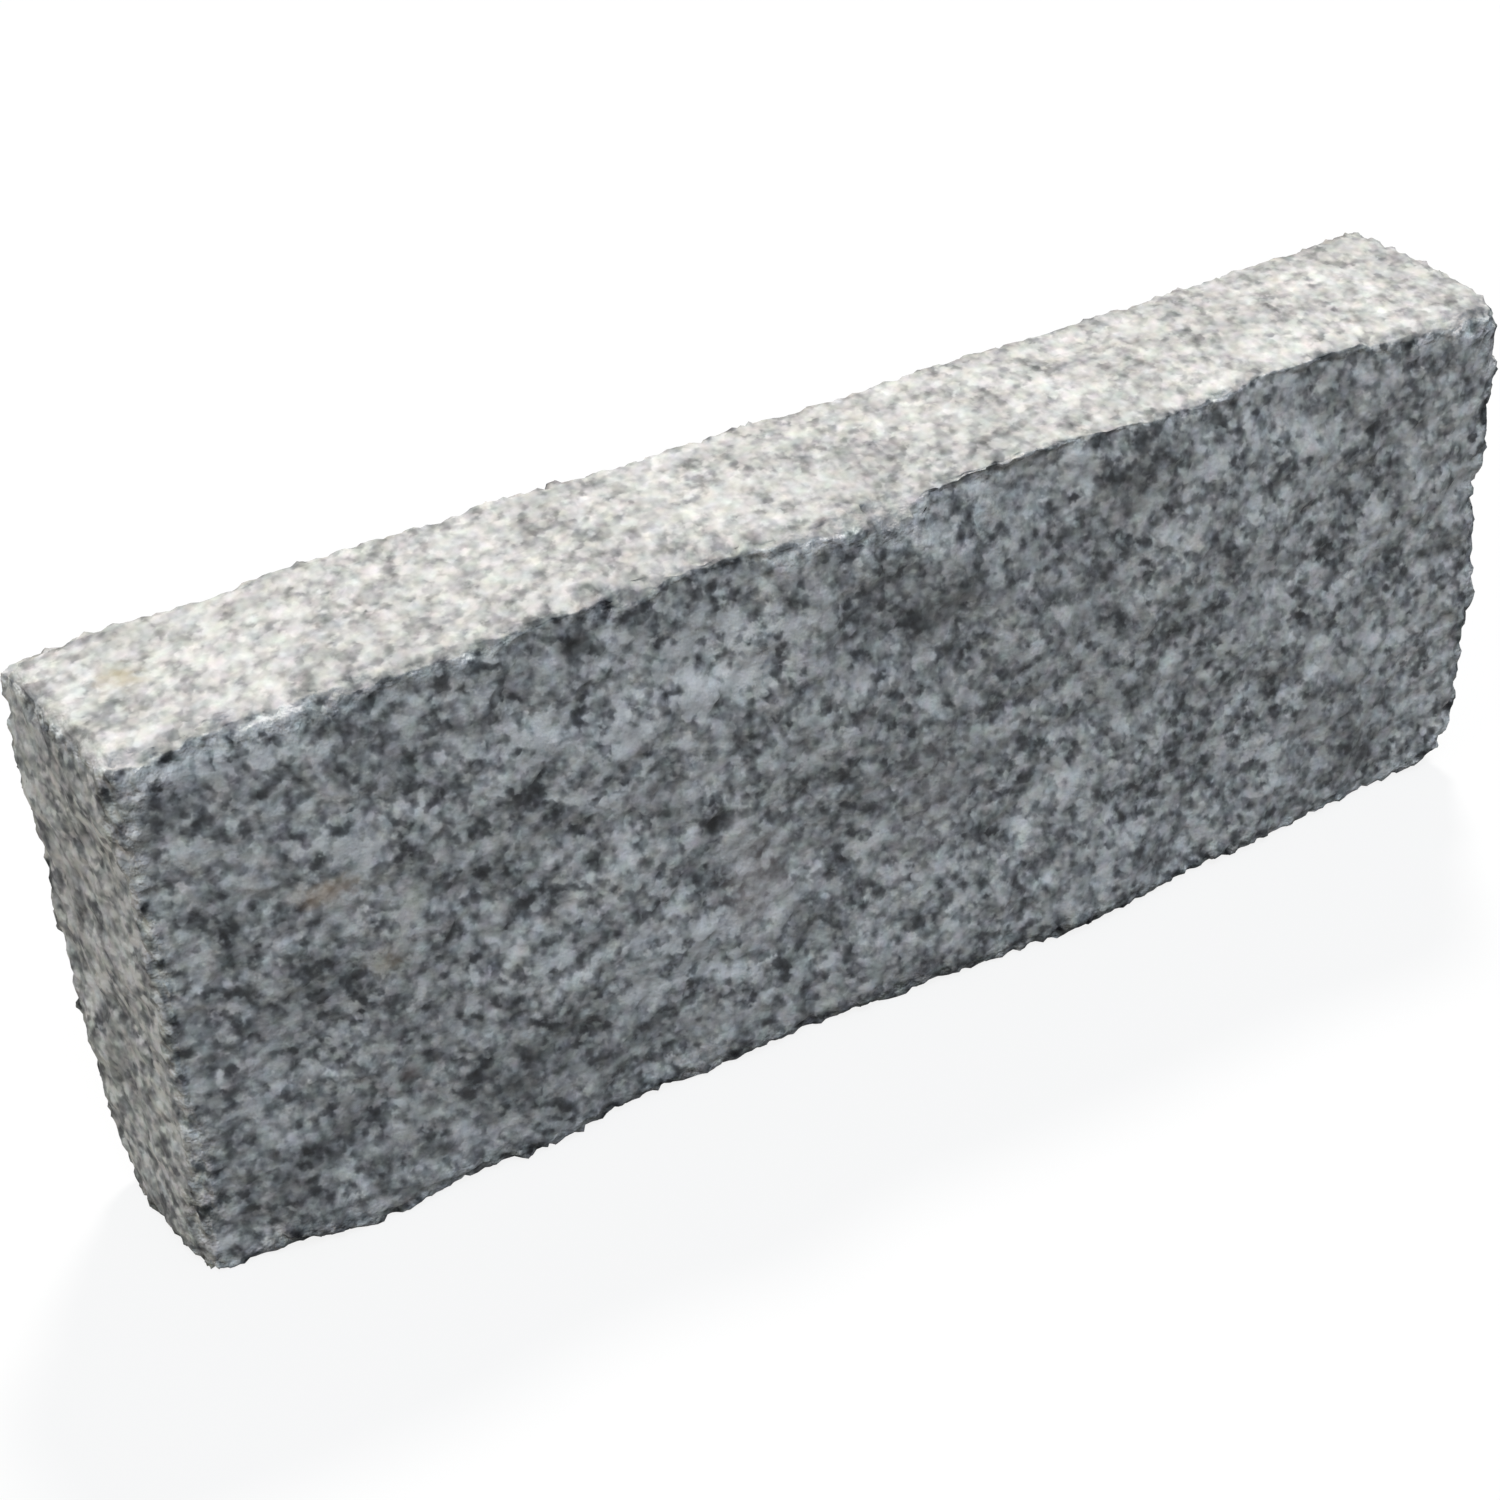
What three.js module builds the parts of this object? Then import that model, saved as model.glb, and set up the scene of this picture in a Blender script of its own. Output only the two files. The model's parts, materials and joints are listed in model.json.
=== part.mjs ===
// Granite kerb stone: one block of grey granite, 800 x 300 x 110 mm nominal, split on every side.
// Frame: X runs along the stone, -Y is its exposed face, Z is up, and the bed lies on z = 0. Millimetres.
import * as THREE from "three";
import { ImprovedNoise } from "three/addons/math/ImprovedNoise.js";
import { mergeVertices } from "three/addons/utils/BufferGeometryUtils.js";

const { lerp, smoothstep } = THREE.MathUtils;

// Nominal size of the stone.
const LENGTH = 800;
const HEIGHT = 300;
const THICKNESS = 110;

// How far the split block is out of square, as a difference from one side to the other.
const NEAR_END = { plan: 8, rake: 10 }; // the back stands past the exposed face, the head past the bed
const FAR_END = { plan: 5, rake: -7 }; // there the head stands short of the bed
const HEAD_SWELL = 11.5; // the head is thicker than the bed
const FAR_SWELL = 6; // the far end is thicker than the near end
const HEAD_FALL = 4.5; // the head drops towards the far end

// Mesh grid: close lines beside each arris, then even cells over the faces.
const ARRIS_LINES = [0, 3.5, 9];
const CELL = 13.5;

// Arrises: their radius, which wanders by this much as they run along the stone.
const ARRIS = { head: 4, foot: 4.5, wander: 2.5, span: 70, seed: 5 };

// Relief of the split faces: its height either way, and the width of what repeats.
const PROUD = 2; // the split faces stand this far outside the nominal size on average
const SWELL = { height: 1.6, span: 260, seed: 3 };
const SHELLS = { height: 3.8, span: 62, seed: 25 };
const STEPS = { height: 2.0, span: 34, seed: 10 };
const ROUGH = { height: 1.0, span: 21, seed: 71 };
// Share of that relief on each side. The head is worked flatter, and the bed is flat to sit on its haunch.
const SHARE = { exposed: 1, back: 1, ends: 0.9, head: 0.45, bed: 0 };

// Shape of one shell or step, in widths: how far its middle strays from an even lattice, how far it stands
// in or out, how much it tilts, and how sharp the ridge to the next one is.
const SHELL_FORM = { stray: 0.4, offset: 0.6, tilt: 1.4, sharpness: 9 };

// Hollows that broke out of the exposed face, and bellies where it stands proud (negative depth).
// Each is an ellipse, measured along from the near end and up from the bed; rim is the share that slopes.
const HOLLOWS = [
  { along: 66, up: 292, halfLength: 56, halfHeight: 44, depth: 2.5, rim: 0.5 },
  { along: 272, up: 284, halfLength: 82, halfHeight: 58, depth: 3, rim: 0.28 },
  { along: 488, up: 300, halfLength: 80, halfHeight: 60, depth: 11, rim: 0.9 },
  { along: 668, up: 300, halfLength: 74, halfHeight: 52, depth: 7, rim: 0.7 },
  { along: 140, up: 0, halfLength: 130, halfHeight: 170, depth: -8, rim: 1 },
  { along: 515, up: 0, halfLength: 200, halfHeight: 120, depth: -13, rim: 1 },
];
const RAGGED = { share: 0.18, span: 40, seed: 13 }; // how far an ellipse's outline strays

// Arrises spalled off in a slope: the middle of the broken run, the way the slope faces, the axis that the
// arris runs along, and the depth cut from the arris, which fades out over the half run.
const SPALLS = [
  { middle: [-330, -58, 303], faces: [0, -0.86, 0.51], runs: "x", halfRun: 62, depth: 9 },
  { middle: [-146, -57, 302], faces: [0, -0.7, 0.7], runs: "x", halfRun: 20, depth: 10 },
  { middle: [11, -55, 301], faces: [0, -0.72, 0.69], runs: "x", halfRun: 36, depth: 11 },
  { middle: [398, -57, 184], faces: [0.75, -0.66, 0], runs: "z", halfRun: 16, depth: 5 },
];
// Corners knocked off along a plane: a point on it and the way it faces.
const CORNERS = [
  { middle: [393, -40, 20], faces: [0.8, -0.15, -0.6] },
  { middle: [-398, 40, 18], faces: [-0.6, 0.6, -0.55] },
  { middle: [390, -48, 298], faces: [0.72, -0.42, 0.55] },
  { middle: [-393, 52, 300], faces: [-0.1, 0.5, 0.7] },
  { middle: [396, 40, 300], faces: [0.66, 0.3, 0.69] },
];

// Even stations along one side of the block, with the close lines at both ends.
function stations(length) {
  const margin = ARRIS_LINES.at(-1);
  const span = length - 2 * margin;
  const cells = Math.round(span / CELL);
  const middle = Array.from({ length: cells - 1 }, (_, i) => margin + ((i + 1) * span) / cells);
  const far = ARRIS_LINES.map((line) => length - line).reverse();
  return [...ARRIS_LINES, ...middle, ...far].map((station) => station - length / 2);
}

// A closed box whose surface carries the grid of stations.
function gridBox(size) {
  const lines = size.toArray().map(stations);
  const cells = lines.map((line) => line.length - 1);
  const box = new THREE.BoxGeometry(...size.toArray(), ...cells);
  const position = box.getAttribute("position");
  for (let i = 0; i < position.count; i++) {
    lines.forEach((line, axis) => {
      const share = position.getComponent(i, axis) / size.getComponent(axis);
      position.setComponent(i, axis, line[Math.round((share + 0.5) * cells[axis])]);
    });
  }
  box.deleteAttribute("normal");
  box.deleteAttribute("uv");
  return mergeVertices(box);
}

const perlin = new ImprovedNoise();
const PERLIN_GAIN = 1.5; // brings its usual range to about -1 to 1

// Smooth noise over the stone.
function smooth(point, { span, seed }) {
  const { x, y, z } = point.clone().divideScalar(span).addScalar(seed);
  return PERLIN_GAIN * perlin.noise(x, y, z);
}

// A repeatable number from -1 to 1 for one lattice cell: an integer hash of its place and a seed.
function cellValue([x, y, z], seed) {
  let hash = Math.imul(x, 374761393) + Math.imul(y, 668265263);
  hash += Math.imul(z, 1103515245) + Math.imul(seed, 362437);
  hash = Math.imul(hash ^ (hash >>> 13), 1274126177);
  hash = Math.imul(hash ^ (hash >>> 15), 2246822519);
  return ((hash ^ (hash >>> 16)) >>> 0) / 2 ** 31 - 1;
}

// Three such numbers as a vector.
function cellVector(cell, seed) {
  return new THREE.Vector3(...[1, 2, 3].map((n) => cellValue(cell, seed + n)));
}

// The lattice cell that holds a point, and the 26 round it.
function cellsRound(point) {
  const { x, y, z } = point.clone().floor();
  const steps = [-1, 0, 1];
  return steps.flatMap((i) => steps.flatMap((j) => steps.map((k) => [x + i, y + j, z + k])));
}

// Granite parts in flat shells, each tilted its own way: tilted planes, blended where they meet.
function fracture(point, { height, span, seed }) {
  const { stray, offset, tilt, sharpness } = SHELL_FORM;
  const place = point.clone().divideScalar(span);
  let sum = 0;
  let weights = 0;
  for (const cell of cellsRound(place)) {
    const centre = cellVector(cell, seed).multiplyScalar(stray).addScalar(0.5);
    const away = place.clone().sub(centre.add(new THREE.Vector3(...cell)));
    const slope = cellVector(cell, seed + 3).multiplyScalar(tilt);
    const weight = Math.exp(-sharpness * away.lengthSq());
    sum += weight * (offset * cellValue(cell, seed + 7) + slope.dot(away));
    weights += weight;
  }
  return (height * sum) / weights;
}

function relief(point) {
  const slow = SWELL.height * smooth(point, SWELL);
  const rough = ROUGH.height * smooth(point, ROUGH);
  return slow + fracture(point, SHELLS) + fracture(point, STEPS) + rough;
}

// The share of the relief that a surface facing this way gets.
function reliefShare({ x, y, z }) {
  const side = y < 0 ? SHARE.exposed : SHARE.back;
  const level = z > 0 ? SHARE.head : SHARE.bed;
  return x * x * SHARE.ends + y * y * side + z * z * level;
}

// Depth lost from the exposed face to its hollows.
function hollowDepth(point) {
  const along = point.x + LENGTH / 2;
  const up = point.z + HEIGHT / 2;
  const stray = RAGGED.share * smooth(point, RAGGED);
  let depth = 0;
  for (const hollow of HOLLOWS) {
    const across = (along - hollow.along) / hollow.halfLength;
    const above = (up - hollow.up) / hollow.halfHeight;
    const off = Math.hypot(across, above) + stray;
    depth += hollow.depth * (1 - smoothstep(off, 1 - hollow.rim, 1));
  }
  return depth;
}

// Moves a point, measured from the middle of the true box, to the block out of square.
function putOutOfSquare(point) {
  const along = point.x / LENGTH;
  const across = point.y / THICKNESS;
  const above = point.z / HEIGHT;
  const near = 0.5 - along;
  const far = 0.5 + along;
  point.x += far * (FAR_END.plan * across + FAR_END.rake * above);
  point.x -= near * (NEAR_END.plan * across + NEAR_END.rake * above);
  point.y += across * (HEAD_SWELL * above + FAR_SWELL * along);
  point.z -= (0.5 + above) * HEAD_FALL * along;
}

// Cuts a point back to the slope of each spall and broken corner that it stands past.
function breakOff(point) {
  for (const { middle, faces, runs, halfRun, depth } of [...SPALLS, ...CORNERS]) {
    const normal = new THREE.Vector3(...faces).normalize();
    const away = point.clone().sub(new THREE.Vector3(...middle));
    const off = runs ? Math.abs(away[runs]) / halfRun : 0;
    const cut = runs ? (depth * (1 + Math.cos(Math.PI * off))) / 2 : 0;
    const past = away.dot(normal) + cut;
    if (past > 0 && off < 1) point.addScaledVector(normal, -past);
  }
}

// The place on the split stone of one point of the true box.
function split(point) {
  const head = point.z / HEIGHT + 0.5;
  const radius = lerp(ARRIS.foot, ARRIS.head, head) + ARRIS.wander * smooth(point, ARRIS);
  const inner = new THREE.Vector3(LENGTH, THICKNESS, HEIGHT).multiplyScalar(0.5).subScalar(radius);
  const core = point.clone().clamp(inner.clone().negate(), inner);
  const normal = point.clone().sub(core).normalize();
  const height = radius + (PROUD + relief(point)) * reliefShare(normal);
  const moved = core.addScaledVector(normal, height);
  moved.y += hollowDepth(point) * Math.max(0, -normal.y);
  putOutOfSquare(moved);
  moved.z += HEIGHT / 2;
  breakOff(moved);
  moved.z = Math.max(0, moved.z);
  return moved;
}

function kerbStone() {
  const geometry = gridBox(new THREE.Vector3(LENGTH, THICKNESS, HEIGHT));
  const position = geometry.getAttribute("position");
  const point = new THREE.Vector3();
  for (let i = 0; i < position.count; i++) {
    const moved = split(point.fromBufferAttribute(position, i));
    position.setXYZ(i, moved.x, moved.y, moved.z);
  }
  geometry.computeBoundingBox();
  const middle = geometry.boundingBox.getCenter(new THREE.Vector3());
  geometry.translate(-middle.x, -middle.y, 0);
  geometry.computeVertexNormals();
  const granite = new THREE.MeshStandardMaterial({ color: 0xa9a9a7, roughness: 0.85, metalness: 0 });
  const stone = new THREE.Mesh(geometry, granite);
  stone.name = "kerb_stone";
  return stone;
}

const kerb = new THREE.Group();
kerb.add(kerbStone());

export default kerb;
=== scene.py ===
"""Granite kerb stone: the split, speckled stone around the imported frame, its light and its camera.

X runs along the stone, -Y is its exposed face and Z is up. Lengths in the dataclasses are
millimetres, and they become metres where they enter a mesh or a node.
"""

import json
import logging
import math
from dataclasses import dataclass
from enum import Enum

import bmesh
import bpy
from mathutils import Matrix, Vector

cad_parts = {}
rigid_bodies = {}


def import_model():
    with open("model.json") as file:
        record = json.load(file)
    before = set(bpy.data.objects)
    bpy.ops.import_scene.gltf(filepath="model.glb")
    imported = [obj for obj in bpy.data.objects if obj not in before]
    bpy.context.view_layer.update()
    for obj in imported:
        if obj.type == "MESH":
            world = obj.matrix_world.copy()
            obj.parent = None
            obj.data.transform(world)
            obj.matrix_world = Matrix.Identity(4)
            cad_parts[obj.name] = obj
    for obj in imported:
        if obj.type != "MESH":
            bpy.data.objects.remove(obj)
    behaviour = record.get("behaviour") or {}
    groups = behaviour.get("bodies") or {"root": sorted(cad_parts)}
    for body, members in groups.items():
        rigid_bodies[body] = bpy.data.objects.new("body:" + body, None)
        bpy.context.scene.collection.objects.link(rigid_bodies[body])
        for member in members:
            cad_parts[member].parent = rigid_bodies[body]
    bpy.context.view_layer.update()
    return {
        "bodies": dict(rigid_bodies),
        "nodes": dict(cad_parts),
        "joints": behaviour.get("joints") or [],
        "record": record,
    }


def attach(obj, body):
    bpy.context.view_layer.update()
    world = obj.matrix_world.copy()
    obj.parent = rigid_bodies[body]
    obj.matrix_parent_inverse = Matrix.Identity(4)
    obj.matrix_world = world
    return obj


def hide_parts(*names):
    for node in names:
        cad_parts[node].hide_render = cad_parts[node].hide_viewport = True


LOG = logging.getLogger("kerb")
MM = 0.001
WHITE = (1.0, 1.0, 1.0, 1.0)
MIDDLE = 0.5  # the middle of a noise, and of each number of its colour
SEED_WAY = (1.0, 1.7, 2.3)  # the way in which a seed moves a pattern of cells
TILT = 1.2  # how steep a split face's flats are, against their width
LIFT = 0.5  # how far one flat stands above the next, against their width
MIX_NUMBERS = (2, 3)  # a Mix node's inputs for its two numbers
MIX_COLOURS = (6, 7)  # and for its two colours

Socket = bpy.types.NodeSocket
Value = Socket | bpy.types.Material | float | str | tuple[float, ...]
Colour = tuple[float, float, float]
Span = tuple[float, float]


class Side(Enum):
    """The sides of the stone that differ in finish, by the way they face."""

    EXPOSED = (0.0, -1.0, 0.0)
    BACK = (0.0, 1.0, 0.0)
    NEAR_END = (-1.0, 0.0, 0.0)
    FAR_END = (1.0, 0.0, 0.0)
    HEAD = (0.0, 0.0, 1.0)
    BED = (0.0, 0.0, -1.0)


@dataclass(frozen=True)
class Noise:
    """Smooth noise: the width of what repeats in millimetres, its seed, and its finer layers."""

    width: float
    seed: float
    detail: float = 2.0
    rough: float = 0.5


@dataclass(frozen=True)
class Cells:
    """A pattern of cells: their width in millimetres, the seed, and how much neighbours blend."""

    width: float
    seed: float
    soft: float


@dataclass(frozen=True)
class Bend:
    """A bending of space: the width of what repeats and the reach of the bends, in millimetres."""

    width: float
    reach: float


class Tree:
    """A node tree, with short calls that add a node and link or fill its inputs."""

    def __init__(self, tree: bpy.types.NodeTree) -> None:
        """Wraps the geometry or shader tree to fill."""
        self.tree = tree

    def add(self, kind: str, inputs: dict[int | str, Value], **settings: object) -> bpy.types.Node:
        """Adds a node.

        Args:
            kind: the node's type name.
            inputs: what goes into its sockets, by name or index: another socket or a plain value.
            **settings: the node's own properties, set before its inputs.

        Returns:
            The node.
        """
        node = self.tree.nodes.new(kind)
        for name, setting in settings.items():
            setattr(node, name, setting)
        for key, value in inputs.items():
            if isinstance(value, Socket):
                self.tree.links.new(value, node.inputs[key])
            else:
                node.inputs[key].default_value = value
        return node

    def maths(self, operation: str, *values: Value, clamp: bool = False) -> Socket:
        """Adds a Math node, with its inputs in order; clamp keeps its result between 0 and 1."""
        inputs = dict(enumerate(values))
        return self.add("ShaderNodeMath", inputs, operation=operation, use_clamp=clamp).outputs[0]

    def total(self, *values: Value) -> Socket:
        """Adds several values up.

        Args:
            *values: one or more numbers.

        Returns:
            Their sum.
        """
        result = values[0]
        for value in values[1:]:
            result = self.maths("ADD", result, value)
        return result

    def vector(self, operation: str, *values: Value, scale: Value | None = None) -> Socket:
        """Adds a Vector Math node.

        Args:
            operation: its operation, such as SUBTRACT or DOT_PRODUCT.
            *values: its vector inputs in order.
            scale: the factor of a SCALE operation.

        Returns:
            Its vector, or its number for an operation that gives one.
        """
        inputs: dict[int | str, Value] = dict(enumerate(values))
        if scale is not None:
            inputs["Scale"] = scale
        node = self.add("ShaderNodeVectorMath", inputs, operation=operation)
        return node.outputs[1 if operation in ("DOT_PRODUCT", "LENGTH") else 0]

    def ramp(self, value: Value, span: Span, to: Span = (0.0, 1.0)) -> Socket:
        """Adds a smooth step over a span, from the first of two results to the second."""
        inputs = dict(enumerate((value, *span, *to)))
        return self.add("ShaderNodeMapRange", inputs, interpolation_type="SMOOTHSTEP").outputs[0]

    def noise(self, place: Socket, noise: Noise) -> Socket:
        """Adds smooth noise.

        Args:
            place: the point.
            noise: its width, seed and layers.

        Returns:
            A number about 0.5, seldom under 0.2 or over 0.8.
        """
        inputs = {"Vector": place, "W": noise.seed, "Scale": 1 / (noise.width * MM)}
        inputs.update({"Detail": noise.detail, "Roughness": noise.rough})
        return self.add("ShaderNodeTexNoise", inputs, noise_dimensions="4D").outputs[0]

    def swing(self, place: Socket, noise: Noise) -> Socket:
        """Adds smooth noise about 0."""
        return self.maths("SUBTRACT", self.noise(place, noise), MIDDLE)

    def shift(self, place: Socket, width: float) -> Socket:
        """Adds three numbers about 0 at once.

        Args:
            place: the point.
            width: the width of what repeats, in millimetres.

        Returns:
            The numbers, as a vector.
        """
        inputs = {"Vector": place, "Scale": 1 / (width * MM), "Detail": 1.0}
        colour = self.add("ShaderNodeTexNoise", inputs).outputs["Color"]
        return self.vector("SUBTRACT", colour, (MIDDLE, MIDDLE, MIDDLE))

    def warped(self, place: Socket, bend: Bend) -> Socket:
        """Moves a point, so that a pattern of cells gets uneven outlines."""
        shift = self.shift(place, bend.width)
        return self.vector("ADD", place, self.vector("SCALE", shift, scale=bend.reach * MM))

    def drawn_out(self, place: Socket, way: tuple[float, float, float], factor: float) -> Socket:
        """Stretches space along one direction, so that a pattern gets longer that way.

        Args:
            place: the point.
            way: the direction, of length 1.
            factor: how much longer the pattern gets.

        Returns:
            The moved point.
        """
        along = self.vector("DOT_PRODUCT", place, way)
        back = self.vector("SCALE", way, scale=self.maths("MULTIPLY", along, 1 / factor - 1))
        return self.vector("ADD", place, back)

    def cells(self, place: Socket, cells: Cells) -> bpy.types.Node:
        """Adds a pattern of soft cells.

        Args:
            place: the point.
            cells: their width, seed and softness.

        Returns:
            The Voronoi node, in units of one cell, whose vector input is moved and scaled.
        """
        scaled = self.vector("SCALE", place, scale=1 / (cells.width * MM))
        moved = self.vector("ADD", scaled, tuple(cells.seed * part for part in SEED_WAY))
        inputs = {"Vector": moved, "Scale": 1.0, "Smoothness": cells.soft}
        return self.add("ShaderNodeTexVoronoi", inputs, feature="SMOOTH_F1")

    def facets(self, place: Socket, cells: Cells) -> Socket:
        """Adds tilted flats that meet in ridges, as stone parts.

        Args:
            place: the point.
            cells: the pattern of the flats.

        Returns:
            Their height, about -0.5 to 0.5.
        """
        cell = self.cells(place, cells)
        point = cell.inputs["Vector"].links[0].from_socket
        away = self.vector("SUBTRACT", point, cell.outputs["Position"])
        tilt = self.vector("SUBTRACT", cell.outputs["Color"], (MIDDLE, MIDDLE, MIDDLE))
        slope = self.vector("DOT_PRODUCT", tilt, away)
        step = self.maths("MULTIPLY", self.shade(cell), LIFT)
        return self.maths("MULTIPLY_ADD", slope, TILT, step)

    def shade(self, cell: bpy.types.Node) -> Socket:
        """Gives each cell of the node from cells a number of its own, from -0.5 to 0.5."""
        red = self.add("ShaderNodeSeparateXYZ", {0: cell.outputs["Color"]}).outputs[0]
        return self.maths("SUBTRACT", red, MIDDLE)

    def stops(self, value: Socket, stops: tuple[tuple[float, Colour], ...]) -> Socket:
        """Turns a number into a colour.

        Args:
            value: the number, from 0 to 1.
            stops: places on the ramp and their colours, lowest first.

        Returns:
            The colour.
        """
        node = self.add("ShaderNodeValToRGB", {0: value})
        ramp = node.color_ramp.elements
        while len(ramp) < len(stops):
            ramp.new(0.5)
        for stop, (position, colour) in zip(ramp, stops):
            stop.position = position
            stop.color = (*colour, 1.0)
        return node.outputs[0]

    def blend(self, share: Socket, under: Value, over: Value) -> Socket:
        """Lays a share of one colour over another."""
        inputs = {0: share, **dict(zip(MIX_COLOURS, (under, over)))}
        return self.add("ShaderNodeMix", inputs, data_type="RGBA").outputs[2]

    def kept(self, name: str) -> Socket:
        """Reads a number kept on the mesh, in a material."""
        return self.add("ShaderNodeAttribute", {}, attribute_name=name).outputs["Fac"]

    def shown(self) -> Socket:
        """Tells what sees the surface, in a material or the world.

        Returns:
            1 to the camera and to reflections, 0 to diffuse light.
        """
        path = self.add("ShaderNodeLightPath", {}).outputs
        mirrored = self.maths("MAXIMUM", path["Is Glossy Ray"], path["Is Transmission Ray"])
        return self.maths("MAXIMUM", path["Is Camera Ray"], mirrored)

    def place(self) -> Socket:
        """Reads the point, in a geometry tree."""
        return self.add("GeometryNodeInputPosition", {}).outputs[0]

    def normal(self) -> Socket:
        """Reads the way the surface faces, in a geometry tree."""
        return self.add("GeometryNodeInputNormal", {}).outputs[0]

    def evened(self, value: Socket, passes: Value, kind: str) -> Socket:
        """Averages a field with its neighbours' in several passes, in a geometry tree."""
        inputs = {"Value": value, "Iterations": passes}
        return self.add("GeometryNodeBlurAttribute", inputs, data_type=kind).outputs[0]


@dataclass(frozen=True)
class Patch:
    """A place on the stone: an ellipsoid round a point, which fades out over its rim."""

    middle: tuple[float, float, float]
    reach: tuple[float, float, float]
    rim: float
    ragged: float

    def mask(self, tree: Tree, place: Socket, stray: Socket) -> Socket:
        """Builds the patch in a tree.

        Args:
            tree: the tree.
            place: the point, in metres.
            stray: noise about 0 that makes the outline ragged.

        Returns:
            1 inside the patch, 0 outside it.
        """
        middle = tuple(MM * number for number in self.middle)
        reach = tuple(MM * number for number in self.reach)
        away = tree.vector("DIVIDE", tree.vector("SUBTRACT", place, middle), reach)
        off = tree.maths("MULTIPLY_ADD", stray, self.ragged, tree.vector("LENGTH", away))
        return tree.ramp(off, (1 - self.rim, 1.0), (1.0, 0.0))


@dataclass(frozen=True)
class Relief:
    """One size of relief: a pattern of flats, how its outlines bend, and its height either way."""

    flats: Cells
    bend: Bend
    height: float

    def raised(self, tree: Tree, place: Socket, height: Socket) -> Socket:
        """Builds the relief at a point, of the height that the group's inputs give."""
        facets = tree.facets(tree.warped(place, self.bend), self.flats)
        return tree.maths("MULTIPLY", facets, height)


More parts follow.
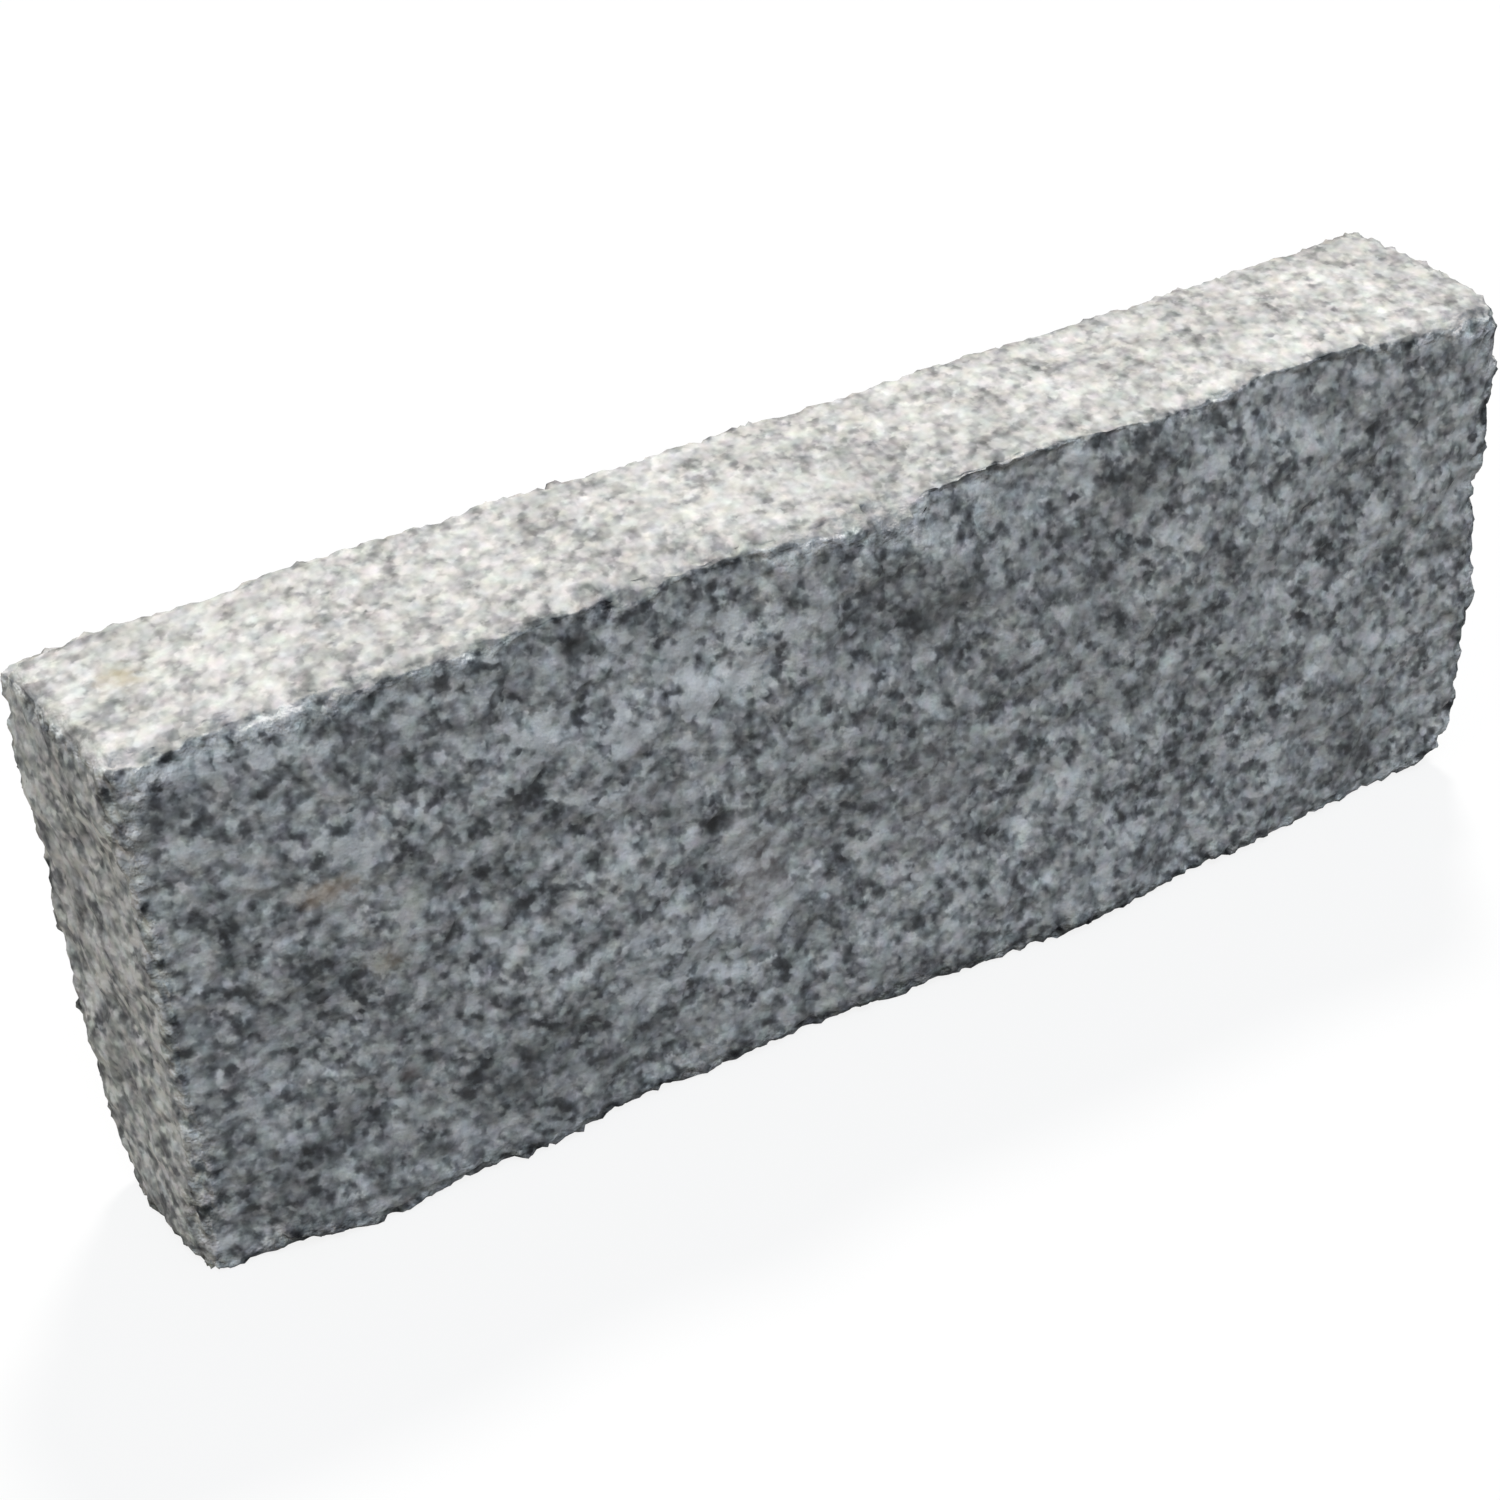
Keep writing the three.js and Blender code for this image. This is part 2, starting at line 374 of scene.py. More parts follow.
@dataclass(frozen=True)
class SplitSurface:
    """The relief of a split face, finer than the frame's.

    A side's share says how much of it the side gets. A break goes that many millimetres into the
    stone, or stands out of it where the number is negative.
    """

    levels: int = 2
    steps: Relief = Relief(Cells(width=25, seed=8.4, soft=0.4), Bend(width=24, reach=12), 3.8)
    crumbs: Relief = Relief(Cells(width=12, seed=5.7, soft=0.2), Bend(width=8, reach=5), 2.8)
    grit: Noise = Noise(width=7, seed=9)
    grit_height: float = 2.0
    arris_grit: float = 3.6
    arris_facing: Span = (0.80, 0.95)
    arris_passes: int = 24
    arris_spread: Span = (0.0, 0.28)
    blunting: int = 36
    chips: Noise = Noise(width=9, seed=2, detail=3, rough=0.7)
    chipped: Span = (0.36, 0.60)
    jolt: Bend = Bend(width=7.5, reach=6)
    break_stray: Noise = Noise(width=22, seed=6)
    worked_stray: Noise = Noise(width=9, seed=17)
    worked_ragged: float = 0.8
    worked_facing: Span = (0.38, 0.68)
    shares: tuple[tuple[Side, float], ...] = (
        (Side.EXPOSED, 1.0),
        (Side.BACK, 1.0),
        (Side.NEAR_END, 0.6),
        (Side.FAR_END, 0.6),
        (Side.HEAD, 0.32),
        (Side.BED, 0.4),
    )
    breaks: tuple[tuple[Patch, float], ...] = (
        # The two dark pits.
        (Patch((-102, -55, 156), (9, 12, 7), 0.9, 0.3), 5.0),
        (Patch((-171, -49, 279), (10, 12, 7), 0.9, 0.3), 4.5),
        # The flake gone above the ledge with the painted highlight, and the lump at the ledge's end.
        (Patch((-138, -52, 279), (74, 16, 50), 0.14, 0.9), 3.2),
        (Patch((-78, -54, 252), (20, 14, 18), 0.9, 0.3), -2.6),
        # A lump at the foot, and a hollow below the head arris.
        (Patch((-313, -56, 12), (50, 14, 16), 0.35, 0.7), -2.2),
        (Patch((-5, -53, 246), (44, 16, 26), 0.5, 0.7), 2.6),
        # The notch in the far arris, and the spall of the head arris at the near end.
        (Patch((384, -55, 190), (20, 20, 10), 0.6, 0.5), 3.0),
        (Patch((-372, -57, 303), (44, 16, 17), 0.9, 0.5), 3.0),
    )

    def share(self, tree: Tree) -> Socket:
        """Gives the share of the relief that a side gets.

        Args:
            tree: the tree.

        Returns:
            The share, blended where sides meet.
        """
        normal = tree.normal()
        parts = []
        for side, share in self.shares:
            facing = tree.maths("MAXIMUM", tree.vector("DOT_PRODUCT", normal, side.value), 0.0)
            parts.append(tree.maths("MULTIPLY", tree.maths("MULTIPLY", facing, facing), share))
        return tree.total(*parts)

    def arris(self, tree: Tree) -> Socket:
        """Finds the arrises.

        Args:
            tree: the tree.

        Returns:
            1 on an arris, 0 on a face, blended over a few millimetres.
        """
        normal = tree.normal()
        facing = [tree.vector("DOT_PRODUCT", normal, axis) for axis in self.axes()]
        along, across, up = (tree.maths("ABSOLUTE", part) for part in facing)
        most = tree.maths("MAXIMUM", tree.maths("MAXIMUM", along, across), up)
        mask = tree.ramp(most, self.arris_facing, (1.0, 0.0))
        return tree.ramp(tree.evened(mask, self.arris_passes, "FLOAT"), self.arris_spread)

    @staticmethod
    def axes() -> list[tuple[float, float, float]]:
        """Gives the three axes."""
        return [Side.FAR_END.value, Side.BACK.value, Side.HEAD.value]

    def tree(self, granite: bpy.types.Material) -> bpy.types.GeometryNodeTree:
        """Builds the tree that turns the frame's block into split stone.

        Args:
            granite: the material the stone gets.

        Returns:
            The geometry tree, with the sizes as named inputs.
        """
        group = bpy.data.node_groups.new("split_surface", "GeometryNodeTree")
        group.interface.new_socket("Geometry", in_out="INPUT", socket_type="NodeSocketGeometry")
        group.interface.new_socket("Geometry", in_out="OUTPUT", socket_type="NodeSocketGeometry")
        for name, value in self.sizes().items():
            kind = "NodeSocketInt" if isinstance(value, int) else "NodeSocketFloat"
            group.interface.new_socket(name, in_out="INPUT", socket_type=kind).default_value = value
        tree = Tree(group)
        sizes = tree.add("NodeGroupInput", {}).outputs
        levels = {0: sizes["Geometry"], "Level": sizes["Levels"]}
        mesh = tree.add("GeometryNodeSubdivisionSurface", levels).outputs[0]
        mesh = self.stored(tree, mesh, "worked", self.worked(tree))
        height = self.broad_height(tree, sizes)
        proud = tree.maths("MULTIPLY", height, 1 / (self.steps.height * MM))
        mesh = self.stored(tree, mesh, "proud", proud)
        mesh = self.moved(tree, mesh, height)
        mesh = self.blunted(tree, mesh, sizes["Blunting"])
        mesh = self.stored(tree, mesh, "arris", self.arris(tree))
        mesh = self.moved(tree, mesh, self.fine_height(tree, sizes))
        mesh = self.seated(tree, mesh)
        mesh = tree.add("GeometryNodeSetShadeSmooth", {0: mesh, "Shade Smooth": True}).outputs[0]
        mesh = tree.add("GeometryNodeRealizeInstances", {0: mesh}).outputs[0]
        mesh = tree.add("GeometryNodeSetMaterial", {0: mesh, "Material": granite}).outputs[0]
        tree.add("NodeGroupOutput", {0: mesh})
        return group

    def worked(self, tree: Tree) -> Socket:
        """Finds the head, which the tool has worked.

        Args:
            tree: the tree.

        Returns:
            1 on the head, 0 on the other sides, with a ragged border.
        """
        stray = tree.swing(tree.place(), self.worked_stray)
        upward = tree.vector("DOT_PRODUCT", tree.normal(), Side.HEAD.value)
        ragged = tree.maths("MULTIPLY_ADD", stray, self.worked_ragged, upward)
        return tree.ramp(ragged, self.worked_facing)

    def sizes(self) -> dict[str, float | int]:
        """Gives the tree's inputs.

        Returns:
            Their names and values: counts, and heights in metres.
        """
        return {
            "Levels": self.levels,
            "Blunting": self.blunting,
            "Step Height": self.steps.height * MM,
            "Crumb Height": self.crumbs.height * MM,
            "Grit Height": self.grit_height * MM,
        }

    def broad_height(self, tree: Tree, sizes: bpy.types.NodeOutputs) -> Socket:
        """Builds the height of the steps and the named breaks.

        Args:
            tree: the tree.
            sizes: the group's inputs.

        Returns:
            The height along the normal, in metres.
        """
        place = tree.place()
        stray = tree.swing(place, self.break_stray)
        steps = self.steps.raised(tree, place, sizes["Step Height"])
        height = tree.maths("MULTIPLY", steps, self.share(tree))
        for patch, depth in self.breaks:
            height = tree.maths("MULTIPLY_ADD", patch.mask(tree, place, stray), -depth * MM, height)
        return height

    def fine_height(self, tree: Tree, sizes: bpy.types.NodeOutputs) -> Socket:
        """Builds the height of the crumbs and the grit, which is coarser along the arrises.

        Args:
            tree: the tree.
            sizes: the group's inputs.

        Returns:
            The height along the normal, in metres.
        """
        place = tree.place()
        crumbs = self.crumbs.raised(tree, place, sizes["Crumb Height"])
        grit = tree.maths("MULTIPLY", tree.swing(place, self.grit), sizes["Grit Height"])
        coarser = tree.maths("MULTIPLY_ADD", self.arris(tree), self.arris_grit, 1.0)
        both = tree.maths("MULTIPLY_ADD", grit, coarser, crumbs)
        return tree.maths("MULTIPLY", both, self.share(tree))

    @staticmethod
    def stored(tree: Tree, mesh: Socket, name: str, value: Socket) -> Socket:
        """Keeps a number on the mesh for the material.

        Args:
            tree: the tree.
            mesh: the mesh.
            name: the attribute's name.
            value: the number at each point.

        Returns:
            The mesh with the attribute.
        """
        inputs = {0: mesh, "Name": name, "Value": value}
        settings = {"data_type": "FLOAT", "domain": "POINT"}
        return tree.add("GeometryNodeStoreNamedAttribute", inputs, **settings).outputs[0]

    def moved(self, tree: Tree, mesh: Socket, height: Socket) -> Socket:
        """Moves a mesh along its normals, evened so that the sides of an arris don't cross.

        Args:
            tree: the tree.
            mesh: the mesh.
            height: how far, in metres.

        Returns:
            The moved mesh.
        """
        even = tree.evened(tree.normal(), self.arris_passes, "FLOAT_VECTOR")
        offset = tree.vector("SCALE", tree.vector("NORMALIZE", even), scale=height)
        return tree.add("GeometryNodeSetPosition", {0: mesh, "Offset": offset}).outputs[0]

    def blunted(self, tree: Tree, mesh: Socket, passes: Socket) -> Socket:
        """Breaks the arrises back in chips and makes them jagged, as handling does.

        Args:
            tree: the tree.
            mesh: the mesh.
            passes: how many times neighbours are averaged where an arris is fully broken.

        Returns:
            The mesh with ragged arrises.
        """
        place = tree.place()
        average = tree.evened(place, passes, "FLOAT_VECTOR")
        bitten = tree.ramp(tree.noise(place, self.chips), self.chipped)
        pull = tree.vector("SCALE", tree.vector("SUBTRACT", average, place), scale=bitten)
        jolt = tree.vector("SCALE", tree.shift(place, self.jolt.width), scale=self.jolt.reach * MM)
        offset = tree.vector("SCALE", tree.vector("ADD", pull, jolt), scale=self.arris(tree))
        return tree.add("GeometryNodeSetPosition", {0: mesh, "Offset": offset}).outputs[0]

    @staticmethod
    def seated(tree: Tree, mesh: Socket) -> Socket:
        """Keeps a mesh on or above the floor.

        Args:
            tree: the tree.
            mesh: the mesh.

        Returns:
            The mesh, with nothing below z = 0.
        """
        parts = tree.add("ShaderNodeSeparateXYZ", {0: tree.place()}).outputs
        level = tree.maths("MAXIMUM", parts[2], 0.0)
        above = tree.add("ShaderNodeCombineXYZ", {0: parts[0], 1: parts[1], 2: level}).outputs[0]
        return tree.add("GeometryNodeSetPosition", {0: mesh, "Position": above}).outputs[0]


@dataclass(frozen=True)
class Stain:
    """A discoloured patch: where it is, its colour, and how strong it is."""

    patch: Patch
    colour: Colour
    strength: float


@dataclass(frozen=True)
class ToneAndPaintedLight:
    """A paler or darker place on the colour, some of them painted light and shade."""

    patch: Patch
    gain: float


@dataclass(frozen=True)
class GraniteFinish:
    """Grey granite of medium grain: white and grey feldspar, glassy quartz and black mica.

    The grains are a little longer along the rift. Cells and a noise pick each point's mineral, and
    their shares say how much they count; raised relief picks paler minerals and hollows darker
    ones, as painted light and shade. Swings make the stone brighter or darker from place to place,
    and patches make some places paler or darker: painted highlights on ledges and breaks, and
    painted shade in pits and under the near-end arris, are among them.
    """

    rift: tuple[float, float, float] = (0.430, 0.715, -0.551)
    rift_factor: float = 1.8
    grain_bend: Bend = Bend(width=2.8, reach=4)
    grains: tuple[tuple[Cells, float], ...] = (
        (Cells(width=8.4, seed=1.3, soft=0.6), 0.18),
        (Cells(width=4, seed=4.9, soft=0.9), 0.46),
    )
    crowding: Noise = Noise(width=14.8, seed=3, rough=0.95)
    crowd_share: float = 1.40
    # Raised relief picks paler minerals and hollows darker ones: painted light and shade.
    relief_shade_share: float = 0.06
    # How far the paler and darker places, painted light and shade among them, move the pick.
    tone_and_light_share: float = 0.03
    tone_stray: Noise = Noise(width=11, seed=15)
    swings: tuple[tuple[Noise, float], ...] = (
        (Noise(width=15, seed=13), 1.3),
        (Noise(width=48, seed=5), 0.9),
        (Noise(width=130, seed=6), 0.8),
    )
    head_swing: float = 0.55
    bruise_ragged: float = 0.9
    bruised: Span = (0.3, 0.7)
    ceiling_base: Colour = (0.40, 0.40, 0.40)
    ceiling_gain: Colour = (0.57, 0.57, 0.57)
    tint_width: float = 7.0
    tint_range: Colour = (0.20, 0.12, 0.20)
    stain_stray: Noise = Noise(width=7, seed=12)
    pores: Noise = Noise(width=4.6, seed=7, rough=0.6)
    pore_depth: float = 1.82
    arris_depth: float = 3.64
    pore_strength: Span = (0.65, 0.30)
    roughness: float = 0.78
    gloss: Span = (0.5, 0.1)
    minerals: tuple[tuple[float, Colour], ...] = (
        (0.00, (0.018, 0.019, 0.021)),
        (0.16, (0.074, 0.077, 0.081)),
        (0.24, (0.139, 0.144, 0.148)),
        (0.32, (0.229, 0.235, 0.239)),
        (0.40, (0.331, 0.337, 0.339)),
        (0.50, (0.478, 0.482, 0.479)),
        (0.62, (0.650, 0.652, 0.644)),
        (1.00, (0.920, 0.918, 0.905)),
    )
    worked: tuple[tuple[float, Colour], ...] = (
        (0.00, (0.134, 0.135, 0.134)),
        (0.16, (0.214, 0.214, 0.212)),
        (0.27, (0.295, 0.292, 0.287)),
        (0.37, (0.379, 0.374, 0.364)),
        (0.48, (0.462, 0.454, 0.439)),
        (0.62, (0.546, 0.535, 0.515)),
        (1.00, (0.710, 0.694, 0.664)),
    )
    # Paler and darker places; painted highlights and painted shade are among them.
    tones_and_painted_light: tuple[ToneAndPaintedLight, ...] = (
        # The near end, paler towards the exposed face, and painted shade across its top under the
        # head arris.
        ToneAndPaintedLight(Patch((-399, -44, 160), (16, 22, 180), 0.8, 0.6), 0.20),
        ToneAndPaintedLight(Patch((-405, 8, 284), (20, 52, 22), 0.9, 0.9), -0.32),
        # Painted highlights on the breaks of the arrises, whose slopes face up into the light.
        ToneAndPaintedLight(Patch((-346, -53, 295), (64, 18, 15), 0.9, 1.3), 0.80),
        ToneAndPaintedLight(Patch((-38, -54, 297), (44, 20, 13), 0.7, 0.9), 0.22),
        ToneAndPaintedLight(Patch((92, -54, 291), (32, 18, 12), 0.7, 0.9), 0.16),
        ToneAndPaintedLight(Patch((377, -56, 191), (26, 22, 11), 0.8, 0.8), 1.20),
        # Painted highlight where the ledge below the head arris faces up into the light, and on the
        # stone round it.
        ToneAndPaintedLight(Patch((-192, -54, 240), (30, 18, 15), 0.9, 1.3), 1.00),
        ToneAndPaintedLight(Patch((-150, -54, 228), (30, 18, 14), 0.9, 1.3), 0.80),
        ToneAndPaintedLight(Patch((-108, -54, 232), (32, 18, 17), 0.9, 1.3), 0.72),
        ToneAndPaintedLight(Patch((-78, -54, 250), (31, 18, 25), 0.8, 0.9), 0.42),
        ToneAndPaintedLight(Patch((-165, -52, 268), (44, 18, 26), 0.9, 0.8), 0.16),
        ToneAndPaintedLight(Patch((-112, -53, 246), (84, 18, 42), 0.9, 0.9), 0.38),
        ToneAndPaintedLight(Patch((-214, -54, 280), (30, 18, 18), 0.9, 0.8), 0.26),
        # Paler places on the exposed face.
        ToneAndPaintedLight(Patch((-140, -54, 78), (29, 18, 26), 0.7, 0.8), 0.75),
        ToneAndPaintedLight(Patch((-85, -54, 137), (24, 18, 15), 0.8, 0.8), 0.45),
        ToneAndPaintedLight(Patch((345, -54, 106), (26, 18, 11), 0.8, 0.8), 0.20),
        ToneAndPaintedLight(Patch((-240, -54, 160), (40, 18, 14), 0.9, 0.8), 0.22),
        ToneAndPaintedLight(Patch((-300, -54, 232), (120, 20, 66), 1.0, 0.8), 0.14),
        ToneAndPaintedLight(Patch((0, -54, 124), (38, 18, 32), 0.9, 0.9), 0.20),
        ToneAndPaintedLight(Patch((-310, -54, 204), (28, 18, 14), 0.8, 0.8), 0.20),
        ToneAndPaintedLight(Patch((-92, -54, 100), (44, 18, 48), 0.9, 0.9), 0.28),
        ToneAndPaintedLight(Patch((-25, -54, 142), (36, 18, 16), 0.9, 0.9), 0.22),
        ToneAndPaintedLight(Patch((86, -54, 177), (30, 18, 20), 0.9, 0.9), 0.26),
        # Darker places on it.
        ToneAndPaintedLight(Patch((64, -60, 62), (28, 20, 22), 0.9, 0.9), -0.22),
        ToneAndPaintedLight(Patch((240, -56, 36), (22, 20, 18), 0.9, 0.9), -0.26),
        ToneAndPaintedLight(Patch((-174, -54, 160), (26, 18, 24), 0.9, 0.9), -0.30),
        ToneAndPaintedLight(Patch((-172, -54, 120), (30, 18, 22), 0.9, 0.9), -0.42),
        ToneAndPaintedLight(Patch((-112, -54, 46), (24, 18, 28), 0.9, 0.9), -0.26),
        ToneAndPaintedLight(Patch((345, -54, 213), (32, 18, 26), 0.9, 0.9), -0.28),
        ToneAndPaintedLight(Patch((12, -54, 238), (66, 18, 30), 0.9, 1.0), -0.16),
        ToneAndPaintedLight(Patch((-18, -54, 221), (22, 14, 10), 0.8, 0.8), -0.14),
        ToneAndPaintedLight(Patch((195, -54, 165), (34, 18, 30), 0.9, 0.9), -0.36),
        ToneAndPaintedLight(Patch((256, -54, 108), (24, 18, 18), 0.9, 0.9), -0.46),
        ToneAndPaintedLight(Patch((374, -55, 157), (28, 20, 16), 0.8, 0.8), -0.50),
        ToneAndPaintedLight(Patch((-129, -54, 178), (19, 14, 30), 0.9, 0.9), -0.50),
        ToneAndPaintedLight(Patch((320, -54, 212), (36, 18, 40), 0.9, 0.9), -0.30),
        ToneAndPaintedLight(Patch((-374, -54, 268), (28, 18, 12), 0.9, 0.9), -0.18),
        ToneAndPaintedLight(Patch((286, -54, 278), (44, 18, 32), 0.9, 0.9), -0.42),
        ToneAndPaintedLight(Patch((146, -54, 274), (42, 18, 28), 0.9, 0.9), -0.30),
        # Its foot.
        ToneAndPaintedLight(Patch((-325, -55, 20), (90, 22, 18), 0.9, 0.8), -0.25),
        ToneAndPaintedLight(Patch((-225, -54, 48), (125, 22, 50), 1.0, 1.0), -0.42),
        ToneAndPaintedLight(Patch((-350, -54, 60), (70, 22, 60), 1.0, 1.0), -0.28),
        ToneAndPaintedLight(Patch((332, -54, 36), (40, 20, 30), 0.9, 0.9), -0.36),
        ToneAndPaintedLight(Patch((100, -54, 20), (260, 22, 30), 0.9, 0.6), -0.14),
        # The two pits: painted shade in them, and their own darker grains.
        ToneAndPaintedLight(Patch((-102, -54, 156), (14, 16, 10), 0.8, 0.6), -0.86),
        ToneAndPaintedLight(Patch((-172, -51, 280), (14, 16, 10), 0.8, 0.6), -0.86),
    )
    head_tones: tuple[ToneAndPaintedLight, ...] = (
        ToneAndPaintedLight(Patch((-340, 0, 303), (150, 100, 30), 1.0, 0.5), 0.03),
    )
    stains: tuple[Stain, ...] = (
        Stain(Patch((-308, -54, 201), (24, 16, 11), 1.0, 1.2), (0.62, 0.45, 0.30), 0.55),
        Stain(Patch((-283, -53, 150), (18, 16, 12), 1.0, 1.2), (0.52, 0.42, 0.30), 0.4),
        Stain(Patch((-267, -54, 180), (12, 16, 10), 1.0, 0.9), (0.56, 0.58, 0.46), 0.4),
        Stain(Patch((-278, -55, 79), (9, 16, 8), 0.9, 0.7), (0.13, 0.08, 0.06), 0.6),
        Stain(Patch((-367, 14, 304), (16, 17, 13), 1.0, 1.3), (0.36, 0.30, 0.18), 0.65),
        Stain(Patch((-80, -53, 110), (34, 20, 42), 1.0, 1.1), (0.54, 0.46, 0.44), 0.4),
        Stain(Patch((25, -53, 120), (30, 20, 60), 1.0, 1.1), (0.36, 0.32, 0.32), 0.25),
    )

    def material(self) -> bpy.types.Material:
        """Builds the material.

        Returns:
            The granite, on Object coordinates.
        """
        granite = bpy.data.materials.new("split_granite")
        granite.use_nodes = True
        granite.node_tree.nodes.clear()
        tree = Tree(granite.node_tree)
        place = tree.add("ShaderNodeTexCoord", {}).outputs["Object"]
        rift = tree.drawn_out(place, self.rift, self.rift_factor)
        # The paler and darker places, painted light and shade among them, brighten or darken the
        # colour and move the pick a little.
        tone_and_light = self.toned_and_lit(tree, place)
        pick = tree.maths("MULTIPLY_ADD", tone_and_light, self.tone_and_light_share, self.pick(tree, rift), clamp=True)
        colour = self.tinted(tree, rift, self.coloured(tree, pick))
        colour = self.levelled(tree, colour, self.level(tree, place, tone_and_light))
        inputs = {
            "Base Color": self.stained(tree, place, colour),
            "Roughness": self.roughness,
            "Specular IOR Level": tree.ramp(tree.kept("arris"), (0.0, 1.0), self.gloss),
            "Normal": self.bump(tree, rift),
        }
        surface = tree.add("ShaderNodeBsdfPrincipled", inputs)
        tree.add("ShaderNodeOutputMaterial", {"Surface": surface.outputs[0]})
        return granite

    def pick(self, tree: Tree, place: Socket) -> Socket:
        """Picks the mineral at a point.

        Args:
            tree: the tree.
            place: the point, drawn out along the rift.

        Returns:
            A number from 0, black, to 1, white.
        """
        bent = tree.warped(place, self.grain_bend)
        pick = MIDDLE
        for cells, share in self.grains:
            pick = tree.maths("MULTIPLY_ADD", tree.shade(tree.cells(bent, cells)), share, pick)
        pick = tree.maths("MULTIPLY_ADD", tree.swing(place, self.crowding), self.crowd_share, pick)
        # Raised parts get paler minerals and hollows darker ones: painted light and shade on the
        # relief.
        return tree.maths("MULTIPLY_ADD", tree.kept("proud"), self.relief_shade_share, pick)

    def level(self, tree: Tree, place: Socket, tone_and_light: Socket) -> Socket:
        """Builds how bright the stone is from place to place, painted light and shade included.

        Args:
            tree: the tree.
            place: the point.
            tone_and_light: what toned gave.

        Returns:
            The factor for the colour, about 1.
        """
        swings = []
        for noise, gain in self.swings:
            swings.append(tree.maths("MULTIPLY", tree.swing(place, noise), gain))
        share = tree.ramp(tree.kept("worked"), (0.0, 1.0), (1.0, self.head_swing))
        return tree.total(tree.maths("MULTIPLY_ADD", tree.total(*swings), share, 1.0), tone_and_light)

    def levelled(self, tree: Tree, colour: Socket, level: Socket) -> Socket:
        """Brightens or darkens the grains, under a ceiling that is lower for the darker ones."""
        ceiling = tree.vector("MULTIPLY_ADD", colour, self.ceiling_gain, self.ceiling_base)
        return tree.vector("MINIMUM", tree.vector("SCALE", colour, scale=level), ceiling)

    def toned_and_lit(self, tree: Tree, place: Socket) -> Socket:
        """Adds the paler and darker places up, painted highlights and painted shade among them.

        Args:
            tree: the tree.
            place: the point.

        Returns:
            What they add to the level and, as a small share, to the pick.
        """
        stray = tree.swing(place, self.tone_stray)
        sums = []
        for tones_and_painted_light in (self.tones_and_painted_light, self.head_tones):
            masks = [tone_and_light.patch.mask(tree, place, stray) for tone_and_light in tones_and_painted_light]
            parts = [tree.maths("MULTIPLY", mask, tone_and_light.gain) for mask, tone_and_light in zip(masks, tones_and_painted_light)]
            sums.append(tree.total(*parts))
        inputs = {0: tree.kept("worked"), **dict(zip(MIX_NUMBERS, sums))}
        return tree.add("ShaderNodeMix", inputs, data_type="FLOAT").outputs[0]

    def tinted(self, tree: Tree, place: Socket, colour: Socket) -> Socket:
        """Gives each grain a faint cast of its own.

        Args:
            tree: the tree.
            place: the point.
            colour: the minerals' colour.

        Returns:
            The tinted colour.
        """
        shift = tree.shift(place, self.tint_width)
        tint = tree.vector("MULTIPLY_ADD", shift, self.tint_range, (1.0, 1.0, 1.0))
        return tree.vector("MULTIPLY", colour, tint)

    def coloured(self, tree: Tree, pick: Socket) -> Socket:
        """Colours the minerals, paler and more alike on the head, where a tool has bruised them.

        Args:
            tree: the tree.
            pick: the number from pick.

        Returns:
            The colour.
        """
        off = tree.maths("SUBTRACT", pick, MIDDLE)
        head = tree.maths("MULTIPLY_ADD", off, self.bruise_ragged, tree.kept("worked"))
        share = tree.ramp(head, self.bruised)
        return tree.blend(share, tree.stops(pick, self.minerals), tree.stops(pick, self.worked))

    def stained(self, tree: Tree, place: Socket, colour: Socket) -> Socket:
        """Lays the stains over the minerals.

        Args:
            tree: the tree.
            place: the point.
            colour: the colour under them.

        Returns:
            The stained colour.
        """
        stray = tree.swing(place, self.stain_stray)
        for stain in self.stains:
            amount = tree.maths("MULTIPLY", stain.patch.mask(tree, place, stray), stain.strength)
            colour = tree.blend(amount, colour, (*stain.colour, 1.0))
        return colour

    def bump(self, tree: Tree, place: Socket) -> Socket:
        """Builds the pores from one fine noise, finer than the mesh and deeper on the arrises.

        Args:
            tree: the tree.
            place: the point, drawn out along the rift.

        Returns:
            The bumped normal.
        """
        more, least = self.arris_depth * MM, self.pore_depth * MM
        depth = tree.maths("MULTIPLY_ADD", tree.kept("arris"), more, least)
        strength = tree.ramp(tree.kept("worked"), (0.0, 1.0), self.pore_strength)
        inputs = {"Strength": strength, "Distance": depth, "Height": tree.noise(place, self.pores)}
        return tree.add("ShaderNodeBump", inputs).outputs[0]


